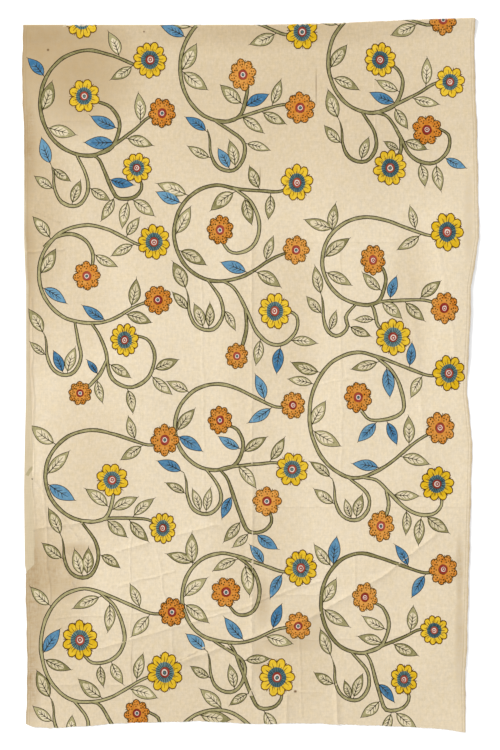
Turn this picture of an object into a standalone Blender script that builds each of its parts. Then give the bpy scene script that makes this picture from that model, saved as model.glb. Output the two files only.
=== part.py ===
"""Kalamkari panel: one painted length of cotton, folded once across and laid face up.

Metres, +Z up. +Y points to the fold at the top, +X to the right of the painted face.
The origin lies on the surface, below the middle of the cloth.
The sheet runs from its upper hem to the fold, round it, and back to its under hem.
"""

import math
from collections import namedtuple

import bmesh
import bpy
import numpy as np

# Driving sizes
LOOM_WIDTH = 1.142
SHOWN_LENGTH = 1.7975
CLOTH_THICKNESS = 0.0010
LAYER_GAP = 0.0012
FOLD_LOOP_RISE = 0.0042
FOLD_LOOP_REACH = 0.050
UNDER_HEM_INSET = 0.006

# The under layer is flat inside a margin, and its edges stand a hair off the surface.
FLAT_COLUMNS_WIDTH = 1.100
FLAT_FROM_DOWN = 0.060
FLAT_TO_DOWN = 1.725
EDGE_LIFT = 0.0004

# How finely the sheet is divided
COLUMN_PITCH = 0.037
CREASE_COLUMN_STEP = 0.012
UPPER_ROW_PITCH = 0.036
UNDER_ROW_PITCH = 0.120
FOLD_ARC_STEPS = 5

# Cloth colour, scene linear
BARE_COTTON = (0.76, 0.63, 0.44, 1.0)
COTTON_ROUGHNESS = 0.92

# Every "down" is a distance below the highest point of the fold.
TOP_Y = SHOWN_LENGTH / 2

# The fold's own line, which drops a little to the left
FoldLine = namedtuple("FoldLine", "x down")
FOLD_LINE = (
    FoldLine(-0.565, 0.0175),
    FoldLine(0.034, 0.0175),
    FoldLine(0.234, 0.0125),
    FoldLine(0.396, 0.0050),
    FoldLine(0.560, 0.0000),
)

# The upper hem, longest at its right corner
HemLine = namedtuple("HemLine", "x down")
UPPER_HEM = (
    HemLine(-0.566, 1.7625),
    HemLine(-0.506, 1.7750),
    HemLine(-0.416, 1.7700),
    HemLine(-0.326, 1.7625),
    HemLine(-0.126, 1.7575),
    HemLine(0.019, 1.7650),
    HemLine(0.124, 1.7625),
    HemLine(0.304, 1.7700),
    HemLine(0.394, 1.7750),
    HemLine(0.484, 1.7850),
    HemLine(0.539, 1.7975),
)

# The selvages' outline
Selvages = namedtuple("Selvages", "down left right")
SELVAGES = (
    Selvages(0.000, -0.563, 0.5625),
    Selvages(0.040, -0.569, 0.5590),
    Selvages(0.160, -0.571, 0.5610),
    Selvages(0.280, -0.566, 0.5660),
    Selvages(0.550, -0.566, 0.5710),
    Selvages(0.610, -0.564, 0.5610),
    Selvages(0.670, -0.561, 0.5510),
    Selvages(0.760, -0.561, 0.5490),
    Selvages(0.850, -0.561, 0.5440),
    Selvages(0.940, -0.561, 0.5410),
    Selvages(1.060, -0.564, 0.5540),
    Selvages(1.180, -0.566, 0.5510),
    Selvages(1.360, -0.564, 0.5460),
    Selvages(1.570, -0.559, 0.5410),
    Selvages(1.660, -0.558, 0.5360),
    Selvages(1.7975, -0.5625, 0.5390),
)

# How far each layer's edges lie inside that outline. The under layer shows on the left.
LayerInset = namedtuple("LayerInset", "down upper_left under_left under_right")
LAYER_INSETS = (
    LayerInset(0.000, 0.000, 0.000, 0.000),
    LayerInset(0.120, 0.000, 0.003, 0.004),
    LayerInset(0.280, 0.000, 0.000, 0.006),
    LayerInset(0.460, 0.004, 0.000, 0.006),
    LayerInset(0.850, 0.007, 0.000, 0.006),
    LayerInset(1.060, 0.019, 0.000, 0.006),
    LayerInset(1.300, 0.025, 0.000, 0.006),
    LayerInset(1.368, 0.024, 0.000, 0.006),
    LayerInset(1.386, 0.001, 0.003, 0.006),
    LayerInset(1.7975, 0.000, 0.004, 0.006),
)
LEDGE_DOWNS = (1.368, 1.386)

# Broad swells where the upper layer stands off the under one
Swell = namedtuple("Swell", "x_from down_from x_to down_to rise reach")
SWELLS = (
    Swell(-0.264, 0.640, -0.300, 1.150, 0.0050, 0.190),
    Swell(0.220, 0.330, 0.230, 1.000, 0.0035, 0.170),
    Swell(0.500, 0.560, 0.510, 0.820, 0.0040, 0.110),
    Swell(-0.420, 1.440, -0.230, 1.580, 0.0050, 0.130),
    Swell(0.480, 1.280, 0.470, 1.600, 0.0035, 0.110),
)

# Storage creases and drag folds, pressed narrower than the swells
Crease = namedtuple("Crease", "x_from down_from x_to down_to rise reach")
CENTRE_CREASE_X = 0.004
CROSS_CREASE_DOWN = 1.2225
CREASES = (
    Crease(CENTRE_CREASE_X, 0.560, CENTRE_CREASE_X, 1.680, 0.0030, 0.026),
    Crease(-0.534, 1.277, -0.359, 1.255, 0.0030, 0.045),
    Crease(-0.339, 1.335, -0.089, 1.268, 0.0030, 0.045),
    Crease(0.010, CROSS_CREASE_DOWN, 0.549, CROSS_CREASE_DOWN, 0.0020, 0.040),
    Crease(-0.476, 0.2575, 0.236, 0.2575, 0.0015, 0.045),
    Crease(0.000, 0.560, 0.449, 0.560, 0.0015, 0.045),
    Crease(-0.389, 1.580, -0.126, 1.505, 0.0028, 0.045),
    Crease(-0.176, 1.610, 0.149, 1.500, 0.0048, 0.050),
    Crease(0.149, 1.500, 0.336, 1.393, 0.0048, 0.050),
    Crease(0.336, 1.393, 0.461, 1.293, 0.0040, 0.045),
    Crease(0.400, 0.655, 0.450, 1.200, 0.0026, 0.060),
    Crease(-0.514, 1.667, -0.301, 1.667, 0.0020, 0.045),
    Crease(0.215, 1.660, 0.219, 1.770, 0.0035, 0.036),
)


def clear_scene():
    for thing in list(bpy.data.objects):
        bpy.data.objects.remove(thing, do_unlink=True)


def read_table(table, key, value, at):
    """A value between the rows of a table, read in a straight run."""
    keys = [getattr(row, key) for row in table]
    values = [getattr(row, value) for row in table]
    return float(np.interp(at, keys, values))


def distance_to_run(x, down, run):
    """Distance from a place on the cloth to the line from a fold's start to its end."""
    run_x = run.x_to - run.x_from
    run_down = run.down_to - run.down_from
    length_squared = run_x * run_x + run_down * run_down
    along = ((x - run.x_from) * run_x + (down - run.down_from) * run_down) / length_squared
    along = min(max(along, 0.0), 1.0)
    return math.hypot(x - run.x_from - along * run_x, down - run.down_from - along * run_down)


def swell_rise(x, down, swell):
    """A rounded rise, level at its top and at its foot."""
    nearness = max(1.0 - distance_to_run(x, down, swell) / swell.reach, 0.0)
    return swell.rise * nearness * nearness * (3.0 - 2.0 * nearness)


def crease_rise(x, down, crease):
    """A ridge with a firm top line and hollow flanks."""
    nearness = max(1.0 - distance_to_run(x, down, crease) / crease.reach, 0.0)
    return crease.rise * nearness * nearness


def fold_loop_rise(x, down):
    """The fold isn't pressed, so the upper layer stands up towards it."""
    from_fold = down - read_table(FOLD_LINE, "x", "down", x)
    nearness = max(1.0 - from_fold / FOLD_LOOP_REACH, 0.0)
    return FOLD_LOOP_RISE * nearness * nearness


def upper_height(x, down):
    """Height of the middle of the upper layer's thickness."""
    resting = 1.5 * CLOTH_THICKNESS + LAYER_GAP
    swells = sum(swell_rise(x, down, swell) for swell in SWELLS)
    creases = max(crease_rise(x, down, crease) for crease in CREASES)
    return resting + swells + creases + fold_loop_rise(x, down)


def place_on_upper(across, fraction):
    """x and down of a point at fractions of the upper layer's width and length."""
    straight_x = (across - 0.5) * LOOM_WIDTH
    fold_down = read_table(FOLD_LINE, "x", "down", straight_x)
    hem_down = read_table(UPPER_HEM, "x", "down", straight_x)
    down = fold_down + (hem_down - fold_down) * fraction
    left = read_table(SELVAGES, "down", "left", down)
    left += read_table(LAYER_INSETS, "down", "upper_left", down)
    right = read_table(SELVAGES, "down", "right", down)
    return left + (right - left) * across, down


def under_x(across, down):
    """Lines of the under layer run straight, apart from its two selvages."""
    if across == 0.0:
        inset = read_table(LAYER_INSETS, "down", "under_left", down)
        return read_table(SELVAGES, "down", "left", down) + inset
    if across == 1.0:
        inset = read_table(LAYER_INSETS, "down", "under_right", down)
        return read_table(SELVAGES, "down", "right", down) - inset
    return (across - 0.5) * FLAT_COLUMNS_WIDTH


def under_points(across):
    """The under layer's middle from just past the fold to its hem, flat inside the margin."""
    edge_height = 0.5 * CLOTH_THICKNESS + EDGE_LIFT
    height = edge_height if across in (0.0, 1.0) else 0.5 * CLOTH_THICKNESS
    points = [(under_x(across, down), down, height) for down in under_row_downs()]
    hem_x = (across - 0.5) * LOOM_WIDTH
    hem_down = read_table(UPPER_HEM, "x", "down", hem_x) - UNDER_HEM_INSET
    points.append((under_x(across, hem_down), hem_down, edge_height))
    return points


def even_fractions(length, pitch):
    steps = max(round(length / pitch), 1)
    return [step / steps for step in range(steps + 1)]


def with_extra_lines(fractions, extra, clearance):
    """Even fractions, with added ones that push out any even one too near to them."""
    kept = [f for f in fractions if f in (0.0, 1.0) or all(abs(f - e) > clearance for e in extra)]
    return sorted(kept + list(extra))


def column_fractions():
    """Lines across the width, closer together over the centre crease."""
    steps = (-2, -1, 0, 1, 2)
    extra = [0.5 + (CENTRE_CREASE_X + step * CREASE_COLUMN_STEP) / LOOM_WIDTH for step in steps]
    clearance = 0.4 * COLUMN_PITCH / LOOM_WIDTH
    return with_extra_lines(even_fractions(LOOM_WIDTH, COLUMN_PITCH), extra, clearance)


def upper_row_fractions():
    """Rows of the upper layer from hem to fold, with one on each line of the left ledge."""
    extra = [down / SHOWN_LENGTH for down in LEDGE_DOWNS + (CROSS_CREASE_DOWN,)]
    clearance = 0.4 * UPPER_ROW_PITCH / SHOWN_LENGTH
    fractions = with_extra_lines(even_fractions(SHOWN_LENGTH, UPPER_ROW_PITCH), extra, clearance)
    return list(reversed(fractions))


def under_row_downs():
    """Straight rows across the flat part of the under layer."""
    length = FLAT_TO_DOWN - FLAT_FROM_DOWN
    extra = [(down - FLAT_FROM_DOWN) / length for down in LEDGE_DOWNS]
    clearance = 0.4 * UNDER_ROW_PITCH / length
    fractions = with_extra_lines(even_fractions(length, UNDER_ROW_PITCH), extra, clearance)
    return [FLAT_FROM_DOWN + fraction * length for fraction in fractions]


def column_points(across):
    """Middle of the cloth's thickness along one line: upper hem, fold, under hem."""
    points = []
    for fraction in upper_row_fractions():
        x, down = place_on_upper(across, fraction)
        points.append((x, down, upper_height(x, down)))
    fold_x, fold_down, fold_height = points.pop()
    arc_foot = 0.5 * CLOTH_THICKNESS + EDGE_LIFT
    radius = 0.5 * (fold_height - arc_foot)
    centre_height = arc_foot + radius
    for step in range(FOLD_ARC_STEPS + 1):
        turn = math.pi * step / FOLD_ARC_STEPS
        down = fold_down + radius * (1.0 - math.sin(turn))
        points.append((fold_x, down, centre_height + radius * math.cos(turn)))
    return points + under_points(across)


def cotton_material():
    material = bpy.data.materials.new("painted_cotton")
    material.use_nodes = True
    shader = material.node_tree.nodes["Principled BSDF"]
    shader.inputs["Base Color"].default_value = BARE_COTTON
    shader.inputs["Roughness"].default_value = COTTON_ROUGHNESS
    shader.inputs["Metallic"].default_value = 0.0
    return material


def build_cloth():
    """The middle surface of the whole sheet, thickened to both sides."""
    form = bmesh.new()
    columns = []
    for across in column_fractions():
        points = column_points(across)
        columns.append([form.verts.new((x, TOP_Y - down, z)) for x, down, z in points])
    for left, right in zip(columns, columns[1:]):
        for row in range(len(left) - 1):
            form.faces.new((left[row], right[row], right[row + 1], left[row + 1]))
    mesh = bpy.data.meshes.new("cloth")
    form.to_mesh(mesh)
    form.free()
    mesh.shade_smooth()
    cloth = bpy.data.objects.new("cloth", mesh)
    bpy.context.scene.collection.objects.link(cloth)
    thickness = cloth.modifiers.new("thickness", "SOLIDIFY")
    thickness.thickness = CLOTH_THICKNESS
    thickness.offset = 0.0
    thickness.use_even_offset = True
    cloth.data.materials.append(cotton_material())
    return cloth


clear_scene()
build_cloth()
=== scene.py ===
"""Dresses the kalamkari panel: painted cotton, folded once and laid face up.

Metres. The cloth is drawn flat in the cut's own plane, x across and y along the cut:
the upper layer runs from its hem up to the fold, and the under layer goes on past it.
Every brush stroke is an outline in that plane. The outlines are cut into the cloth's
faces, each face takes the dye of the topmost stroke over it, and a Geometry Nodes tree
then lays the flat sheet on its folds.
"""

import math
from collections import namedtuple
from functools import reduce

import bpy
import numpy as np
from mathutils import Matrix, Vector
from mathutils.geometry import delaunay_2d_cdt


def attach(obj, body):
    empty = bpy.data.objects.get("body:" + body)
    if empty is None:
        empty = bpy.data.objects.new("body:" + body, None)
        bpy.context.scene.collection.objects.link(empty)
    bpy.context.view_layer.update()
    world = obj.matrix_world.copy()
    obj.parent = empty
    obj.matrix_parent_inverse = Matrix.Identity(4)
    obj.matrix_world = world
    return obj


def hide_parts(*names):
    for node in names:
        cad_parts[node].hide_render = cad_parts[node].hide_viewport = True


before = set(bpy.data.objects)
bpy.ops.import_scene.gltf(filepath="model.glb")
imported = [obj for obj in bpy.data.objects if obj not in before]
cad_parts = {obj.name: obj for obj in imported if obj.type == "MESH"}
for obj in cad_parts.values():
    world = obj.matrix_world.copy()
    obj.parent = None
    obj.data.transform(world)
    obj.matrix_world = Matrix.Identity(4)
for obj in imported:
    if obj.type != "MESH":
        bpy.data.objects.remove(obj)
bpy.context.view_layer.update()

# Sizes of the cut and of how it lies
SHOWN_LENGTH = 1.7975
LOOM_WIDTH = 1.142
TOP_Y = SHOWN_LENGTH / 2
CLOTH_THICKNESS = 0.0005
LAYER_GAP = 0.0006
UPPER_REST_HEIGHT = 2 * CLOTH_THICKNESS + LAYER_GAP
LOOP_RISE = 0.0040
LOOP_REACH = 0.050
FOLD_RADIUS = (UPPER_REST_HEIGHT + LOOP_RISE) / 2
FOLD_ARC = math.pi * FOLD_RADIUS
UNDER_HEM_INSET = 0.006

# Mesh fineness
GRID_PITCH = 0.0170
REVERSE_PITCH = 0.032
FOLD_STEP = 0.012
EDGE_STEP = 0.008
ARC_ROWS = 5
STROKE_STEP = 0.0110
MERGE_DISTANCE = 1e-6
GROUND_CLEARANCE = 0.0045
CELL_SIZE = 0.012
SLOPE_STEP = 0.001

# Room kept free of other strokes round each thing, and of the ground's points along the rim
LEAF_SPACE = 0.0085
STEM_SPACE = 0.006
YELLOW_SPACE = 0.041
ORANGE_SPACE = 0.035
RIM_SPACE = 0.0035

# Marks of the weave and of the selvages, and how far the painted shade at each selvage's edge reaches
SELVAGE_LINE = 0.009
SELVAGE_LINE_REACH = 0.0016
SELVAGE_EDGE_SHADE_REACH = 0.006
THREAD_RELIEF = 0.0002
PINCH_RELIEF = 1.6
PINCH_SWAY = 0.022

# The studio: how much brighter than plain the cloth is lit, and where things stand
STUDIO_LIGHT = 1.25
KEY_LIGHT = ((-10.2, 6.6, 5.1), 3.9, 2160)
FILL_LIGHT = ((6.4, -4.8, 6.0), 4.8, 320)
AIR_LIGHT = 0.70
CAMERA_PLACE = (-0.00125, 0.00625, 4.427)
LENS = 85
FLOOR_SIZE = 14
PAPER_WHITE = (0.96, 0.96, 0.96, 1)

# What the folding tree is given, by the names of its inputs
LAY_INPUTS = {"Rest Height": UPPER_REST_HEIGHT, "Loop Rise": LOOP_RISE, "Loop Reach": LOOP_REACH,
              "Swell Height": 1.0, "Crease Height": 1.0}


def named_rows(kind, *values):
    """A table's rows, with their columns named."""
    return [kind(*row) for row in values]


# Every "down" is a distance below the highest point of the fold.
FoldLine = namedtuple("FoldLine", "x down")
FOLD_LINE = named_rows(
    FoldLine,
    (-0.565, 0.0175), (0.034, 0.0175), (0.234, 0.0125), (0.396, 0.005), (0.56, 0.0),
)

HemLine = namedtuple("HemLine", "x down")
UPPER_HEM = named_rows(
    HemLine,
    (-0.566, 1.7625), (-0.545, 1.7715), (-0.506, 1.775), (-0.416, 1.77), (-0.326, 1.7625), (-0.126, 1.7575),
    (0.019, 1.765), (0.124, 1.7625), (0.304, 1.768), (0.394, 1.772), (0.454, 1.775), (0.514, 1.782),
    (0.539, 1.786),
)

Selvages = namedtuple("Selvages", "down left right")
SELVAGES = named_rows(
    Selvages,
    (0.0, -0.563, 0.5625), (0.04, -0.569, 0.559), (0.16, -0.571, 0.561), (0.28, -0.566, 0.566),
    (0.55, -0.566, 0.571), (0.61, -0.564, 0.561), (0.67, -0.561, 0.551), (0.76, -0.561, 0.549),
    (0.85, -0.561, 0.544), (0.94, -0.561, 0.541), (1.06, -0.564, 0.554), (1.18, -0.566, 0.551),
    (1.36, -0.564, 0.546), (1.57, -0.559, 0.541), (1.66, -0.558, 0.536), (1.7975, -0.5625, 0.539),
)

LayerInset = namedtuple("LayerInset", "down upper_left under_left under_right")
LAYER_INSETS = named_rows(
    LayerInset,
    (0.0, 0.0, 0.0, 0.0), (0.12, 0.0, 0.003, 0.004), (0.28, 0.0, 0.0, 0.006), (0.46, 0.004, 0.0, 0.006),
    (0.85, 0.007, 0.0, 0.006), (1.06, 0.019, 0.0, 0.006), (1.3, 0.025, 0.0, 0.006),
    (1.368, 0.024, 0.0, 0.006), (1.386, 0.001, 0.003, 0.006), (1.7975, 0.0, 0.004, 0.006),
)

# Broad swells, and the creases pressed or dragged into the upper layer
Fold = namedtuple("Fold", "x_from down_from x_to down_to rise reach")
SWELLS = named_rows(
    Fold,
    (-0.264, 0.64, -0.3, 1.15, 0.005, 0.19), (0.22, 0.33, 0.23, 1.0, 0.0035, 0.17),
    (0.5, 0.56, 0.51, 0.82, 0.004, 0.11), (-0.42, 1.44, -0.23, 1.58, 0.005, 0.13),
    (0.48, 1.28, 0.47, 1.6, 0.0035, 0.11),
)
CREASES = named_rows(
    Fold,
    (0.004, 0.56, 0.004, 1.18, 0.001, 0.007), (0.006, 1.18, 0.004, 1.68, 0.0016, 0.009),
    (-0.534, 1.277, -0.359, 1.255, 0.0018, 0.01), (-0.339, 1.335, -0.089, 1.268, 0.0013, 0.009),
    (0.01, 1.2225, 0.549, 1.2225, 0.0007, 0.006), (-0.476, 0.2575, 0.236, 0.2575, 0.0006, 0.006),
    (0.0, 0.56, 0.449, 0.56, 0.0006, 0.006), (-0.389, 1.58, -0.126, 1.505, 0.0013, 0.009),
    (-0.176, 1.61, 0.149, 1.5, 0.0021, 0.011), (0.149, 1.5, 0.336, 1.393, 0.0021, 0.012),
    (0.336, 1.393, 0.461, 1.293, 0.0018, 0.01), (-0.184, 1.61, -0.111, 1.57, 0.0013, 0.006),
    (0.391, 1.35, 0.451, 1.3, 0.001, 0.006), (0.4, 0.655, 0.45, 1.2, 0.0011, 0.019),
    (-0.514, 1.667, -0.301, 1.667, 0.001, 0.007), (0.0, 1.4425, 0.174, 1.4425, 0.0008, 0.006),
    (0.036, 1.685, 0.174, 1.685, 0.0007, 0.006), (0.215, 1.68, 0.219, 1.775, 0.0024, 0.012),
    (0.092, 1.69, 0.09, 1.765, 0.0013, 0.009), (-0.286, 0.69, -0.286, 0.78, 0.0006, 0.006),
    (0.262, 1.33, 0.262, 1.43, 0.0006, 0.006), (-0.545, 1.15, -0.43, 1.3, 0.001, 0.007),
    (-0.505, 1.3, -0.44, 1.42, 0.001, 0.007),
)

# Finer pinches and pressed lines, too small for the faces, kept as relief of the weave
PINCHES = named_rows(
    Fold,
    (-0.15, 1.515, 0.18, 1.405, 0.0007, 0.006), (-0.33, 1.42, -0.19, 1.385, 0.0006, 0.005),
    (-0.235, 1.33, -0.18, 1.64, 0.0005, 0.005), (-0.48, 1.5, -0.06, 1.475, 0.0004, 0.005),
    (-0.3, 1.3, -0.296, 1.74, 0.0004, 0.004), (0.12, 1.48, 0.128, 1.75, 0.0005, 0.005),
    (0.03, 1.56, 0.42, 1.545, 0.0004, 0.004), (0.24, 1.2, 0.43, 1.29, 0.0005, 0.005),
    (-0.52, 1.13, -0.5, 1.48, 0.0006, 0.005), (-0.548, 0.7, -0.54, 1.28, 0.0005, 0.005),
    (-0.47, 1.33, -0.4, 1.395, 0.0006, 0.005), (-0.545, 0.48, -0.48, 0.512, 0.0007, 0.005),
    (-0.556, 0.585, -0.465, 0.58, 0.0007, 0.005), (0.31, 0.06, 0.312, 0.33, 0.0003, 0.004),
    (-0.12, 0.64, -0.118, 1.18, 0.0003, 0.005), (0.225, 0.56, 0.228, 1.15, 0.0004, 0.006),
    (0.465, 0.56, 0.52, 0.9, 0.0005, 0.008), (-0.4, 0.9, -0.21, 0.96, 0.0004, 0.006),
    (0.06, 0.94, 0.24, 0.9, 0.0004, 0.006), (0.3, 1.64, 0.43, 1.7, 0.0005, 0.006),
)

# Dyes, in the order of the cloth's material slots
DYES = (
    "bare_cotton", "outline_ink", "stem_green", "leaf_cream", "leaf_blue", "petal_yellow",
    "petal_orange", "petal_ink", "ring_teal", "tick_blue", "ring_crimson", "eye_white", "strike_through",
    "reverse_cotton",
)
DYE_SLOT = {name: index for index, name in enumerate(DYES)}

# Where each dye's faces go in the colour sheet: left, bottom, right, top
BAKE_TILES = {
    "bare_cotton": (0.005, 0.005, 0.560, 0.880),
    "outline_ink": (0.570, 0.005, 0.775, 0.325),
    "stem_green": (0.785, 0.005, 0.995, 0.325),
    "leaf_cream": (0.570, 0.335, 0.775, 0.655),
    "leaf_blue": (0.785, 0.335, 0.995, 0.655),
    "petal_yellow": (0.570, 0.665, 0.775, 0.985),
    "petal_orange": (0.785, 0.665, 0.995, 0.985),
    "petal_ink": (0.005, 0.890, 0.090, 0.985),
    "ring_teal": (0.100, 0.890, 0.185, 0.985),
    "ring_crimson": (0.195, 0.890, 0.235, 0.985),
    "tick_blue": (0.245, 0.890, 0.280, 0.985),
    "eye_white": (0.290, 0.890, 0.350, 0.985),
    "strike_through": (0.360, 0.890, 0.400, 0.985),
    "reverse_cotton": (0.410, 0.890, 0.520, 0.985),
    "cut_edge": (0.530, 0.890, 0.560, 0.985),
}

# Painting order, from the first wash to the last touch
ORDER = (
    "cloth", "strike", "stalk_ink", "stem_ink", "stem_wash", "leaf_ink", "leaf_wash", "leaf_bare",
    "leaf_vein", "petal_edge", "petal_wash", "petal_mark", "ring_wash", "ring_tick",
    "heart", "heart_ring", "heart_eye", "heart_dot", "heart_core",
)
RANK = {name: index for index, name in enumerate(ORDER)}

# Stroke widths
STEM_HALF_WIDTH = 0.0052
INK_LINE = 0.0022
VEIN_HALF_WIDTH = 0.00095
STALK_HALF_WIDTH = 0.0009
PETAL_LINE = 0.0026
STEM_WANDER = 0.0005
LINE_WANDER = 0.00035
LEAST_WASH = 0.0004
TICK_COUNT = 24
PETAL_PLUMPNESS = 1.08
PETAL_LENGTHENING = 1.22
YELLOW_RADIUS = 0.0420
ORANGE_RADIUS = 0.0352

# One creeper to a row: its ring, its blossoms and its hook. A blossom is y for yellow or o for orange,
# and has a size where it is unlike the rest.
Vine = namedtuple("Vine", "ring_x ring_down wide high a b c d e hook turn curl share",
                  defaults=("curl", 0.95))
VINES = (
    Vine(-0.406, 0.213, 0.12, 0.132, (-0.251, 0.105, "y"), (-0.416, 0.195, "y", 0.97),
         (-0.221, 0.238, "o", 0.93), (-0.284, 0.375, "y", 0.88), None, (-0.446, 0.47),
         "under", "spiral", 0.66),
    Vine(-0.064, 0.125, 0.112, 0.135, (0.129, 0.035, "y"), (-0.019, 0.142, "o"),
         (0.124, 0.225, "o"), None, None, (-0.056, 0.382), "over", "spiral", 0.5),
    Vine(0.304, 0.11, 0.11, 0.128, (0.481, 0.005, "o"), (0.324, 0.105, "y"),
         (0.499, 0.16, "y"), (0.441, 0.28, "o"), (0.349, 0.375, "y"), (0.274, 0.36), "over", "spiral", 0.7),
    Vine(-0.411, 0.64, 0.118, 0.122, (-0.241, 0.56, "y"), (-0.409, 0.645, "o"),
         (-0.231, 0.705, "o"), (-0.314, 0.805, "y", 0.88), (-0.426, 0.938, "o", 0.86), (-0.464, 0.892),
         "wide", "top"),
    Vine(-0.081, 0.538, 0.11, 0.12, (0.116, 0.412, "y"), (-0.076, 0.53, "o"),
         (0.114, 0.58, "o"), (0.061, 0.733, "y"), (-0.034, 0.845, "o", 0.86), (-0.109, 0.78), "over"),
    Vine(0.291, 0.608, 0.112, 0.11, (0.491, 0.535, "y", 1.06), (0.306, 0.605, "o"),
         (0.484, 0.725, "o"), (0.356, 0.798, "y"), None, (0.214, 0.795), "short", "spiral", 0.42),
    Vine(-0.396, 1.145, 0.117, 0.115, (-0.214, 1.055, "o"), (-0.346, 1.155, "y"),
         (-0.219, 1.275, "y", 0.85), None, None, (-0.421, 1.398), "over", "spiral", 0.46),
    Vine(-0.086, 1.023, 0.103, 0.108, (0.106, 0.968, "o", 0.88), (-0.076, 1.005, "o", 0.88),
         (0.104, 1.128, "y"), (0.041, 1.208, "o"), None, (-0.114, 1.24), "under", "spiral", 0.66),
    Vine(0.269, 0.993, 0.122, 0.157, (0.496, 0.888, "y"), (0.269, 0.948, "o"),
         (0.474, 1.025, "o"), (0.466, 1.165, "y"), (0.326, 1.27, "o"), (0.256, 1.255), "under"),
    Vine(-0.416, 1.568, 0.108, 0.142, (-0.196, 1.485, "o"), (-0.426, 1.555, "y"),
         (-0.214, 1.635, "y"), (-0.284, 1.738, "o"), None, (-0.446, 1.805), "over"),
    Vine(-0.071, 1.448, 0.1, 0.11, (0.126, 1.375, "y"), (-0.061, 1.435, "o"),
         (0.119, 1.52, "o"), (0.066, 1.648, "y"), None, (-0.056, 1.685), "under"),
    Vine(0.276, 1.463, 0.1, 0.125, (0.481, 1.378, "o"), (0.286, 1.448, "o"),
         (0.459, 1.53, "y", 0.8), (0.384, 1.653, "y", 0.8), None, (0.256, 1.705), "under", "spiral", 0.7),
    Vine(-0.089, 1.835, 0.105, 0.105, (0.116, 1.83, "y"), None, None, None, None, None, "over"),
)
# How the stem of the fourth blossom comes to it: over its top, or from below
REACHES = {
    "over": ((-0.012, -0.081), ((0, 0.020), (0, 0.006), (-0.004, -0.010)),
             ((0.022, -0.081), (0.052, -0.052), (0.055, -0.014), (0.026, 0.005))),
    "wide": ((-0.018, -0.108), ((0, 0.014), (0.004, 0.004), (-0.004, -0.012)),
             ((0.020, -0.118), (0.060, -0.092), (0.075, -0.040), (0.058, 0.000), (0.022, 0.012))),
    "under": ((-0.045, -0.076), ((0, 0.016), (0, 0.004), (0, -0.006)),
              ((-0.008, -0.074), (0.012, -0.050), (0.006, -0.022))),
    "short": ((-0.038, 0.030), ((0, 0.008), (0, 0.006), (0, 0.003)), ((-0.020, 0.012),)),
}
LONE_BLOSSOMS = ((-0.421, 0.004, "y"),)
PAST_FOLD_SHIFT = 1.700

# Leaves: the stem they grow from, how far along it, side, lean from the stem, size, chance of blue
LeafNode = namedtuple("LeafNode", "stem along side lean size blue")
LEAF_NODES = named_rows(
    LeafNode,
    ("main", 0.075, 1, 50, 0.88, 0.3), ("main", 0.11, -1, 52, 0.84, 0.3), ("main", 0.375, -1, 62, 1.0, 0.3),
    ("main", 0.4, -1, 118, 1.0, 0.1), ("main", 0.52, 1, 140, 1.0, 0.05), ("main", 0.53, 1, 52, 1.0, 0.25),
    ("main", 0.82, 1, 132, 0.94, 0.75), ("main", 0.86, -1, 50, 0.94, 0.0), ("main", 0.9, 1, 48, 0.9, 0.1),
    ("curl", 0.06, -1, 122, 0.94, 0.0), ("curl", 0.11, -1, 38, 0.98, 0.05), ("curl", 0.4, 1, 122, 0.9, 0.1),
    ("curl", 0.43, 1, 28, 0.96, 0.05), ("curl", 0.8, 1, 40, 0.86, 0.3), ("curl", 0.74, 1, 120, 0.86, 0.3),
    ("spiral", 0.56, -1, 42, 0.92, 0.3), ("spiral", 0.6, 1, 62, 0.9, 0.2),
    ("spiral", 0.42, -1, 84, 0.9, 0.05), ("top", 0.78, 1, 118, 0.92, 0.0), ("top", 0.82, 1, 50, 0.92, 0.0),
    ("hook", 0.3, 1, 60, 0.8, 0.1), ("hook", 0.545, -1, 118, 0.84, 0.15),
    ("hook", 0.565, -1, 52, 0.84, 0.1), ("hook", 0.78, 1, 42, 0.8, 0.0),
    ("hook", 0.985, -1, 152, 0.96, 0.8), ("hook", 0.985, 1, 10, 0.96, 0.2),
    ("reach", 0.26, -1, 50, 0.86, 0.25), ("reach", 0.3, 1, 52, 0.86, 0.35),
    ("reach", 0.5, -1, 52, 0.84, 0.15), ("reach", 0.66, -1, 112, 0.86, 0.2),
    ("reach", 0.7, -1, 44, 0.88, 0.2), ("drop", 0.42, -1, 50, 0.74, 0.2), ("drop", 0.47, 1, 46, 0.8, 0.7),
)
LEAF_MIDDLE = -0.008
LEAF_LIMIT = 0.547
LEAF_LENGTH = 0.083
LEAF_HALF_WIDTH = 0.0160

hand = np.random.default_rng(4552)


def read_table(table, key, value, at):
    """Values between the rows of a table, read in straight runs."""
    return np.interp(at, [getattr(row, key) for row in table], [getattr(row, value) for row in table])


def selvage(side, downs):
    return read_table(SELVAGES, "down", side, downs)


def inset(side, downs):
    """How far a layer's edge lies inside the other's."""
    return read_table(LAYER_INSETS, "down", side, downs)


def hem_y(x):
    return TOP_Y - read_table(UPPER_HEM, "x", "down", x)


def unsteady(at, size, wavelength):
    """A smooth wander about zero along a stroke, as an unsteady hand leaves."""
    phases = hand.uniform(0, math.tau, 3)
    lengths = wavelength * np.array([1.0, 0.53, 0.31])
    waves = [np.sin(at * math.tau / length + phase) for length, phase in zip(lengths, phases)]
    return size * (waves[0] + 0.6 * waves[1] + 0.35 * waves[2]) / 1.5


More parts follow.
